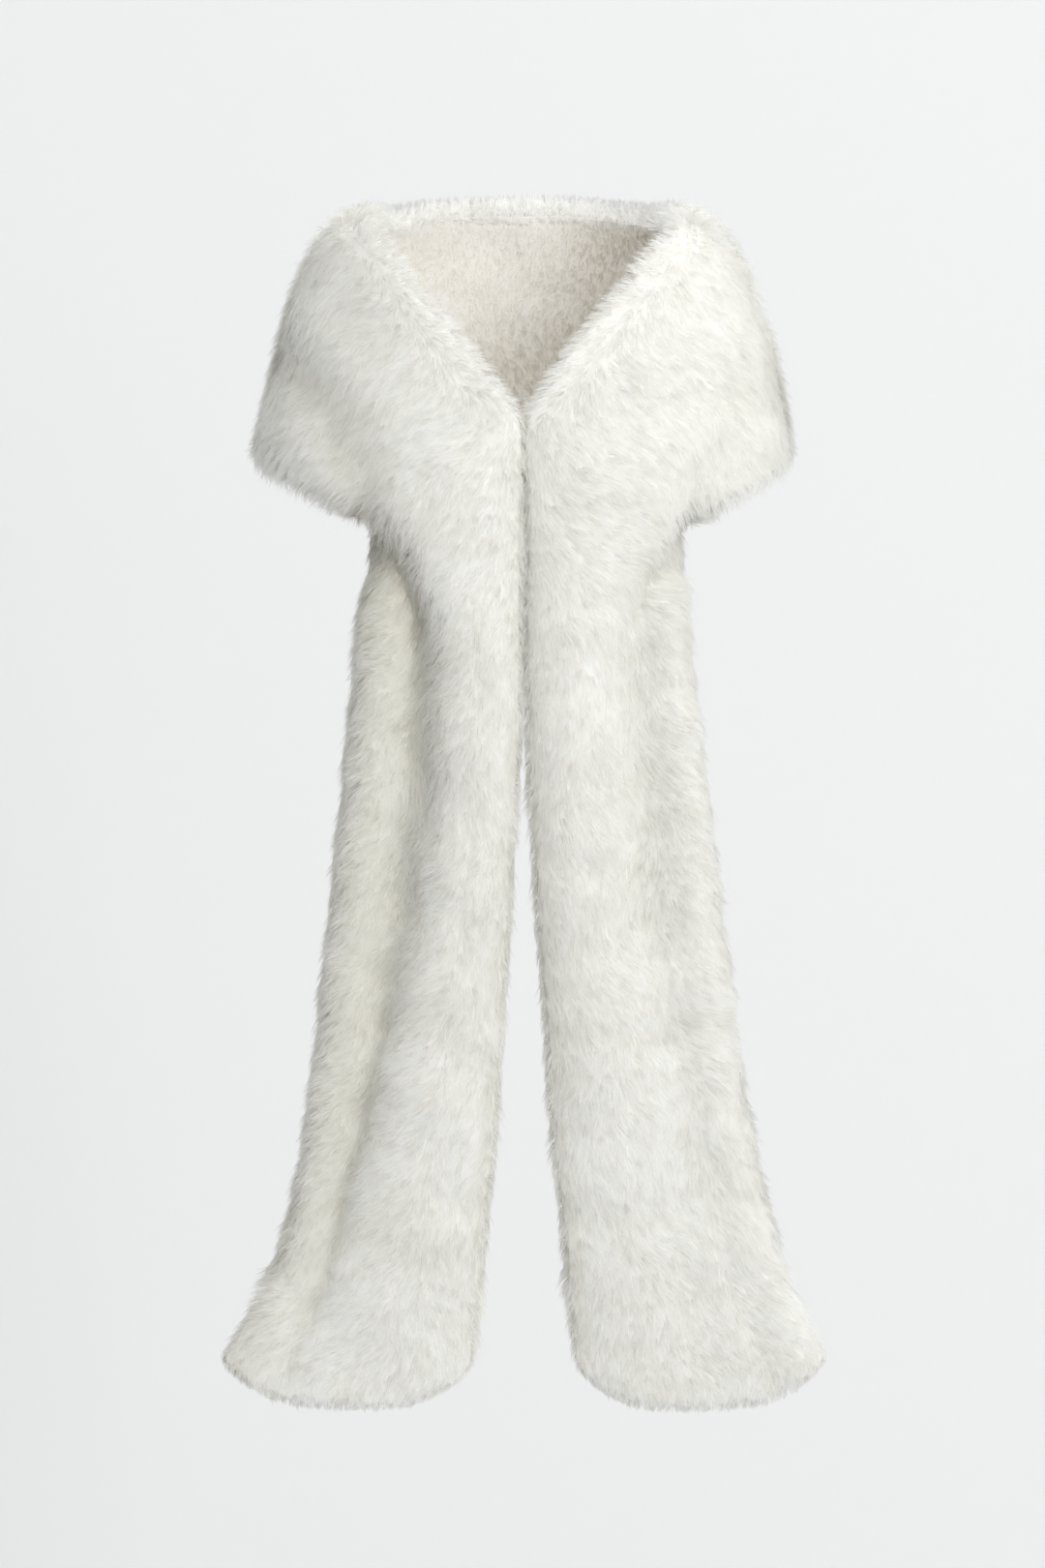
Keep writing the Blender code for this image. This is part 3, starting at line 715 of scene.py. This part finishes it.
def silky_hair():
    """White strands: cream at the root, white at the tip, each lock a little apart in tone, with painted shade."""
    made, tree, shader = finish("white_silky_hair", 0.55, 0.15)
    tone = ((0.0, (0.81, 0.795, 0.75)), (0.4, (0.885, 0.885, 0.87)), (1.0, (0.918, 0.922, 0.917)))
    apart = ((0.0, (0.90, 0.897, 0.88)), (0.5, (0.99, 0.99, 0.985)), (1.0, (1.0, 1.0, 1.0)))
    along, lock = along_and_lock(tree)
    drift = ramp(tree, drift_in(tree, 9.0, 45.0), ((0.35, (0.97, 0.965, 0.95)), (0.6, (1.0, 1.0, 1.0))))
    colour = product(tree, product(tree, ramp(tree, along, tone), ramp(tree, lock, apart)), drift)
    # painted shade: darker and warmer where the cloth lies in shade
    colour = with_painted_shade(tree, colour, (0.87, 0.861, 0.82))
    tree.links.new(colour, shader.inputs["Base Color"])
    let_through(tree, shader, colour, THROUGH)
    return made


def under_fur():
    """Dense short hair between the long strands: cream white, streaked, with a fine uneven surface and painted
    shade.
    """
    made, tree, shader = finish("cream_under_fur", 0.85, 0.25)
    base = ramp(tree, drift_in(tree, 12.0, 80.0), ((0.3, (0.81, 0.80, 0.765)), (0.7, (0.87, 0.866, 0.845))))
    # painted shade on the cloth, darker and warmer in shaded places
    tree.links.new(with_painted_shade(tree, base, (0.84, 0.815, 0.745)), shader.inputs["Base Color"])
    napped(tree, shader, 260.0, 5.0, 0.35, 0.0015)
    return made


def brushed_plush(name, low, high):
    """Short plush: mottled cream with brushed patches, a fine nap and painted shade."""
    made, tree, shader = finish(name, 0.9, 0.35)
    patches = ramp(tree, drift_in(tree, 14.0, 120.0), ((0.36, low), (0.62, high)))
    # painted shade on the plush
    tree.links.new(with_painted_shade(tree, patches, PLUSH_PAINTED_SHADE), shader.inputs["Base Color"])
    napped(tree, shader, 420.0, 4.0, 0.5, 0.0012)
    return made


def tip_of_plush():
    """Short strands of the plush, cream from root to tip, with painted shade."""
    made, tree, shader = finish("cream_plush_nap", 0.8, 0.2)
    along, _ = along_and_lock(tree)
    tone = ramp(tree, along, ((0.0, (0.895, 0.872, 0.832)), (1.0, (0.925, 0.912, 0.885))))
    drift = ramp(tree, drift_in(tree, 14.0, 120.0), ((0.36, (0.93, 0.92, 0.90)), (0.62, (1.0, 1.0, 1.0))))
    # painted shade on the plush's nap
    colour = with_painted_shade(tree, product(tree, tone, drift), PLUSH_PAINTED_SHADE)
    tree.links.new(colour, shader.inputs["Base Color"])
    let_through(tree, shader, colour, THROUGH)
    return made


HAIR = silky_hair()
UNDER = under_fur()
PLUSH = brushed_plush("cream_brushed_plush", (0.875, 0.85, 0.805), (0.91, 0.895, 0.86))
NAP = tip_of_plush()


def dress(piece, slot, *materials):
    """Give a piece its materials and its body. The slot argument is not used."""
    for material in materials:
        piece.data.materials.append(material)
    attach(piece, "root")
    return piece


def swirled(way, normals, points, seed):
    """The sweep turned a little about the normal by slow and quicker waves."""
    turn = ripples(points, seed, (0.09, 0.22), 0.28) + ripples(points, seed + 1, (0.025, 0.06), 0.24)
    way = unit(way - dot(way, normals) * normals)
    return np.cos(turn)[..., None] * way + np.sin(turn)[..., None] * np.cross(normals, way)


def combed(direction, normals):
    """Sweep and lift in degrees that lay hair along a direction, where that points out of the cloth."""
    direction = unit(direction)
    rise = np.clip(dot(direction, normals), 0.10, 0.985)
    return direction - dot(direction, normals) * normals, np.degrees(np.arcsin(rise))[..., 0]


def edge_share(points, reach):
    """1 at the first column, falling to 0 at reach from it, and the same from the last one."""
    step = np.linalg.norm(np.diff(points, axis=1), axis=2)
    run = np.concatenate([np.zeros((len(points), 1)), np.cumsum(step, axis=1)], axis=1)
    return 1.0 - smooth(run / reach), 1.0 - smooth((run[:, -1:] - run) / reach)


def end_share(points, reach):
    """1 at the first row, falling to 0 at reach from it, and the same from the last one."""
    step = np.linalg.norm(np.diff(points, axis=0), axis=2)
    run = np.concatenate([np.zeros((1, points.shape[1])), np.cumsum(step, axis=0)])
    return 1.0 - smooth(run / reach), 1.0 - smooth((run[-1:] - run) / reach)


def make_front(side_name, ribs, sections, side, soft, shaded, edge_reach, across, dip, seed):
    """One front: its cloth, and its hair in two pieces. side is -1 on the wearer's right. soft is how many
    columns the big fold is softened over, shaded how much shade is painted behind the lapel, on the outer side
    and under the cape's hem, edge_reach how far shade is painted in from the meeting edge, across how much
    hair lies over the fold, and dip the line of a soft trough on the cape and its depth, which also sets the
    shade painted in it. The middle surface has uneven low waves and, where it hangs, fainter ones that run level."""
    middle = front_middle(ribs, sections)
    hangs = smooth((-0.27 - middle[..., 2:]) / 0.08)
    middle = middle + hangs * (softened(middle, 1.0, soft) - middle)
    normals = normals_of(middle, (0.0, -1.0, 0.0))
    away = smooth((middle[..., 0] - 0.012) / 0.03)      # from the edges that meet
    trough = near_line(middle, dip[0], 0.045)
    bands = ripples(middle * (0.25, 0.25, 1.0), seed + 5, (0.028, 0.06), 0.0008)
    bands = bands * (0.35 + 0.65 * hangs[..., 0])
    height = ripples(middle, seed, (0.08, 0.24), 0.0024) + bands
    middle = middle + normals * (height * away - dip[1] * trough)[..., None]

    # painted shade: darker in low places, on the cloth behind the lapel, on its outer side, under the cape's hem
    # where the hem casts shadow, along the edge that meets the other front, and in the trough
    behind = middle[..., 1] - middle[:, :LAPEL_COLUMNS, 1].min(axis=1, keepdims=True)
    from_outer = middle[..., 0].max(axis=1, keepdims=True) - middle[..., 0]
    within = smooth((from_outer - 0.002) / 0.028)
    outer = smooth((0.036 - from_outer) / 0.032)
    shadow_under_hem = smooth((middle[..., 2] + 0.47) / 0.13) * smooth((behind - 0.008) / 0.015)
    fold_shade = within * smooth((behind - 0.003) / 0.018) + 0.8 * outer + 0.9 * shadow_under_hem
    painted_shade = 0.45 * hollows(middle, normals, 0.0042) + shaded * hangs[..., 0] * fold_shade
    edge = edge_share(middle, edge_reach)[0] * smooth((-0.19 - middle[..., 2]) / 0.02)
    painted_shade = np.clip(painted_shade + 0.3 * edge + 80.0 * dip[1] * trough, 0.0, 1.0)

    middle[..., 0] *= side
    normals[..., 0] *= side
    loops = loops_round(middle, normals, FACE, REVERSE, True)
    cloth = skin(f"{side_name}_front_cloth", loops, painted_shade, True)
    dress(cloth, "white_pile", UNDER, PLUSH)
    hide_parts(f"{side_name}_front")

    # hair: down, outwards on the cape, the outer roll and by the fold, and towards the inner edge in the neck
    points, outward = pile_side(loops, middle.shape[1])
    painted_shade = on_rims(painted_shade)
    level = points[..., 2]
    out = np.array([side, 0.0, 0.0])
    down = np.array([0.0, 0.0, -1.0])
    first, last = edge_share(points, 0.030)
    lean = edge_share(points, 0.085)[0] * smooth((level + 0.22) / 0.05)
    hem = end_share(points, 0.05)[1]
    top = end_share(points, 0.03)[0]
    share = np.linspace(0.0, 1.0, points.shape[1])[None, :] * np.ones(level.shape)
    on_roll = smooth((share - 0.50) / 0.18)
    hanging = smooth((-0.30 - level) / 0.08)
    low = smooth((-0.60 - level) / 0.15)
    by_fold = smooth(1.0 - np.abs(share - 0.38) / 0.16) * across
    outwards = (1.0 - hanging) * 0.75 + hanging * (0.12 + 1.0 * on_roll + (0.6 + 0.7 * low) * by_fold)
    outwards = outwards * (1.0 - hem) * (1.0 - 0.7 * last * (1.0 - hanging))
    in_neck = first * smooth((level + 0.20) / 0.03)
    to_first = -unit(np.gradient(points, axis=1))
    sweep = unit(down + (outwards * (1.0 - lean))[..., None] * out)
    sweep = sweep + (1.5 * lean + 0.4 * first)[..., None] * to_first
    sweep = sweep - 0.5 * (last * hanging)[..., None] * to_first
    sweep = sweep - 0.9 * top[..., None] * unit(np.gradient(points, axis=0))
    sweep = swirled(sweep, outward, points, seed + 11)
    lift = LIFT + 10.0 * in_neck + 2.0 * hem + 5.0 * top - 4.0 * last * hanging
    length = FRONT_HAIR - (0.0135 + 0.002 * side) * in_neck - 0.009 * (first - in_neck) - 0.0155 * hem
    length = length - (0.013 - 0.004 * hanging) * last * (1.0 - hem)
    amount = 1.0 + 0.5 * first + 0.4 * hem + 1.0 * top
    amount[:, [0, 1, -2, -1]] *= FAR_RIM
    half = len(points) // 2
    for part, rows, own_seed in (("upper", slice(0, half + 1), seed + 21), ("lower", slice(half, None), seed + 22)):
        locks = int(LOCKS_PER_AREA * area_of(points[rows]))
        grown = strands(
            f"{side_name}_front_hair_{part}", points[rows], outward[rows], sweep[rows], lift[rows], length[rows],
            amount[rows], locks, PER_LOCK, own_seed, painted_shade=painted_shade[rows],
        )
        dress(grown, "white_pile", HAIR)


def make_back(seed):
    """The back stretch with its hair and the upright hair of the neck edge."""
    middle = back_middle(BACK_COLUMNS, INSET, INSET)
    normals = normals_of(middle, (0.0, 1.0, 0.0))
    middle = middle + normals * ripples(middle, seed, (0.09, 0.24), 0.0022)[..., None]
    # painted shade: darker in the troughs of the back's waves
    painted_shade = 0.7 * hollows(middle, normals, 0.0045)
    loops = loops_round(middle, normals, FACE, REVERSE, False)
    cloth = skin("back_cloth", loops, painted_shade, True)
    dress(cloth, "white_pile", UNDER, PLUSH)
    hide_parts("back_cape")

    # hair: down and sideways, up at the neck edge, and towards the fronts where it meets them
    points, outward = pile_side(loops, BACK_COLUMNS)
    first, last = edge_share(points, 0.022)
    start, end = end_share(points, 0.06)
    sideways = np.sign(points[..., 0]) * smooth(np.abs(points[..., 0]) / 0.12) * 0.45
    sweep = np.stack([sideways, np.zeros(sideways.shape), -np.ones(sideways.shape)], axis=-1)
    sweep = unit(sweep) - 2.2 * first[..., None] * unit(np.gradient(points, axis=1))
    sweep = sweep + 0.8 * (end - start)[..., None] * unit(np.gradient(points, axis=0))
    sweep = swirled(sweep, outward, points, seed + 11)
    lift = LIFT + 14.0 * first + 6.0 * last
    length = BACK_HAIR - 0.012 * first - 0.012 * last
    amount = 1.0 + 0.2 * first + 0.3 * last + 0.9 * (start + end)
    grown = strands(
        "back_hair", points, outward, sweep, lift, length, amount, int(LOCKS_PER_AREA * area_of(points)), PER_LOCK,
        seed + 21, painted_shade=on_rims(painted_shade),
    )
    dress(grown, "white_pile", HAIR)

    # the neck edge: hair on the rim and just inside it, combed upright to an even height
    brim = np.arange(-RIM - 3, RIM + 3)
    points = np.take(loops, brim, axis=1, mode="wrap")
    outward = unit(points - points[:, 4:5] * 0.5 - points[:, 7:8] * 0.5)
    sweep, lift = combed(np.array([0.0, 0.0, 1.0]) + 0.12 * outward, outward)
    top = points[..., 2].max(axis=1, keepdims=True) + np.linspace(0.0175, 0.0105, len(brim))
    length = np.clip(top - points[..., 2], 0.008, 0.028)
    fringe = strands(
        "back_neck_hair", points, outward, sweep, lift, length, np.ones(lift.shape), NECK_LOCKS, PER_LOCK,
        seed + 51, radius=0.003, lit_as=outward + np.array([0.1, -0.7, 0.2]),
    )
    dress(fringe, "white_pile", HAIR)


def make_back_plush(seed):
    """The plush inside the back stretch, with its short nap, which is thin where it can't be seen."""
    middle = back_middle(PLUSH_COLUMNS, *PLUSH_INSET)
    normals = -normals_of(middle, (0.0, 1.0, 0.0))
    less, reach = PLUSH_NECK
    middle = middle + normals * (PLUSH_AWAY - less * edge_share(middle, reach)[0])[..., None]
    middle = middle + normals * ripples(middle, seed + 3, (0.03, 0.12), 0.0010)[..., None]
    # painted shade: darker towards +X, behind the left front, and lower down, where the lapel shades the plush
    painted_shade = 0.60 * smooth((middle[..., 0] + 0.01) / 0.10) + 0.60 * smooth((-0.05 - middle[..., 2]) / 0.10)
    painted_shade = np.minimum(painted_shade, 1.0)
    loops = loops_round(middle, normals, PLUSH_HALF, PLUSH_HALF, False)
    plush = skin("back_plush", loops, painted_shade, False)
    dress(plush, "cream_plush", PLUSH)
    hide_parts("back_lining")

    points, outward = pile_side(loops, PLUSH_COLUMNS)
    sweep = swirled(np.broadcast_to(np.array([0.0, 0.0, -1.0]), points.shape), outward, points, seed + 31)
    shown = smooth((points[..., 2] + 0.24) / 0.05) * 0.85 + 0.15
    nap = strands(
        "back_plush_nap", points, outward, sweep, np.full(shown.shape, NAP_LIFT), np.full(shown.shape, NAP_HAIR),
        shown, NAP_LOCKS, NAP_PER_LOCK, seed + 41, radius=0.0045, painted_shade=on_rims(painted_shade),
    )
    dress(nap, "cream_plush", NAP)


RIGHT_DIP = ((0.235, -0.13), (0.185, -0.20), (0.160, -0.26), (0.141, -0.33)), 0.0045
LEFT_DIP = ((0.215, -0.17), (0.180, -0.25), (0.165, -0.33)), 0.0015
make_front(
    "right", RIGHT_RIBS, RIGHT_SECTIONS, side=-1.0, soft=2.8, shaded=0.52, edge_reach=0.008, across=1.0,
    dip=RIGHT_DIP, seed=100,
)
make_front(
    "left", LEFT_RIBS, LEFT_SECTIONS, side=1.0, soft=3.0, shaded=0.15, edge_reach=0.018, across=0.3,
    dip=LEFT_DIP, seed=200,
)
make_back(300)
make_back_plush(300)

# Studio
FLOOR_LEVEL = -2.60
WALL_AT = 1.90
WALL_TOP = 4.5
SWEEP_RADIUS = 0.9
SWEEP_GREY = (0.85, 0.85, 0.85, 1.0)
SKY = (0.99, 0.995, 1.0, 1.0)
SKY_STRENGTH = 0.655


def studio_sweep():
    """Pale floor that runs back, turns up in a quarter circle and goes on as a wall: the profile is
    carried along X. It is seen from inside only."""
    angle = np.linspace(0.0, 0.5 * math.pi, 16)
    y = np.concatenate([[-9.0, -4.0, -1.0], WALL_AT - SWEEP_RADIUS + SWEEP_RADIUS * np.sin(angle), [WALL_AT]])
    z = np.concatenate([np.full(3, FLOOR_LEVEL), FLOOR_LEVEL + SWEEP_RADIUS * (1.0 - np.cos(angle)), [WALL_TOP]])
    x = np.linspace(-7.0, 7.0, 9)
    points = np.stack(np.broadcast_arrays(x[None, :], y[:, None], z[:, None]), axis=-1)
    rows, columns = points.shape[:2]
    index = np.arange(rows * columns).reshape(rows, columns)
    faces = np.stack([index[:-1, :-1], index[:-1, 1:], index[1:, 1:], index[1:, :-1]], axis=-1).reshape(-1, 4)
    made = put_mesh("studio_floor", points.reshape(-1, 3), faces.ravel(), np.full(len(faces), 4))
    paint = bpy.data.materials.new("pale_floor")
    paint.use_nodes = True
    tree = paint.node_tree
    shader = tree.nodes["Principled BSDF"]
    shader.inputs["Base Color"].default_value = SWEEP_GREY
    shader.inputs["Roughness"].default_value = 1.0
    shader.inputs["Specular IOR Level"].default_value = 0.0
    clear = tree.nodes.new("ShaderNodeBsdfTransparent")
    both = tree.nodes.new("ShaderNodeMixShader")
    tree.links.new(tree.nodes.new("ShaderNodeNewGeometry").outputs["Backfacing"], both.inputs[0])
    tree.links.new(shader.outputs[0], both.inputs[1])
    tree.links.new(clear.outputs[0], both.inputs[2])
    tree.links.new(both.outputs[0], tree.nodes["Material Output"].inputs["Surface"])
    made.data.materials.append(paint)


def lamp(name, place, target, size, watts, colour, spread):
    """Square area light at a place, turned to a target, with its light kept within spread degrees."""
    light = bpy.data.lights.new(name, "AREA")
    light.shape = "SQUARE"
    light.size = size
    light.energy = watts
    light.color = colour
    light.spread = math.radians(spread)
    made = bpy.data.objects.new(name, light)
    made.location = place
    made.rotation_euler = (Vector(target) - Vector(place)).to_track_quat("-Z", "Y").to_euler()
    bpy.context.scene.collection.objects.link(made)


studio_sweep()
lamp("key", (5.0, -6.7, 1.9), (0.0, 0.0, -0.7), 5.0, 292.0, (0.99, 0.997, 1.0), 180.0)
lamp("top", (0.0, -2.4, 4.4), (0.0, 0.0, -0.3), 4.0, 62.0, (0.98, 0.99, 1.0), 180.0)
lamp("back", (-0.4, 1.3, 1.5), (0.0, 0.0, -0.2), 1.0, 2.6, (0.99, 0.995, 1.0), 75.0)
world = bpy.data.worlds.new("soft_sky")
world.use_nodes = True
world.node_tree.nodes["Background"].inputs["Color"].default_value = SKY
world.node_tree.nodes["Background"].inputs["Strength"].default_value = SKY_STRENGTH
bpy.context.scene.world = world
bpy.context.scene.view_settings.view_transform = "Standard"
bpy.context.scene.cycles.diffuse_bounces = 8

CAMERA_AT = -7.0
PLANE = -0.07              # plane in which one unit of the photograph is a millimetre
FRAME_HEIGHT = 1.620
SENSOR = 24.0
lens = bpy.data.cameras.new("camera")
lens.sensor_fit = "VERTICAL"
lens.sensor_height = SENSOR
lens.lens = SENSOR * (PLANE - CAMERA_AT) / FRAME_HEIGHT
camera = bpy.data.objects.new("camera", lens)
camera.location = (-0.001, CAMERA_AT, -0.570)
camera.rotation_euler = (0.5 * math.pi, 0.0, 0.0)
bpy.context.scene.collection.objects.link(camera)
bpy.context.scene.camera = camera
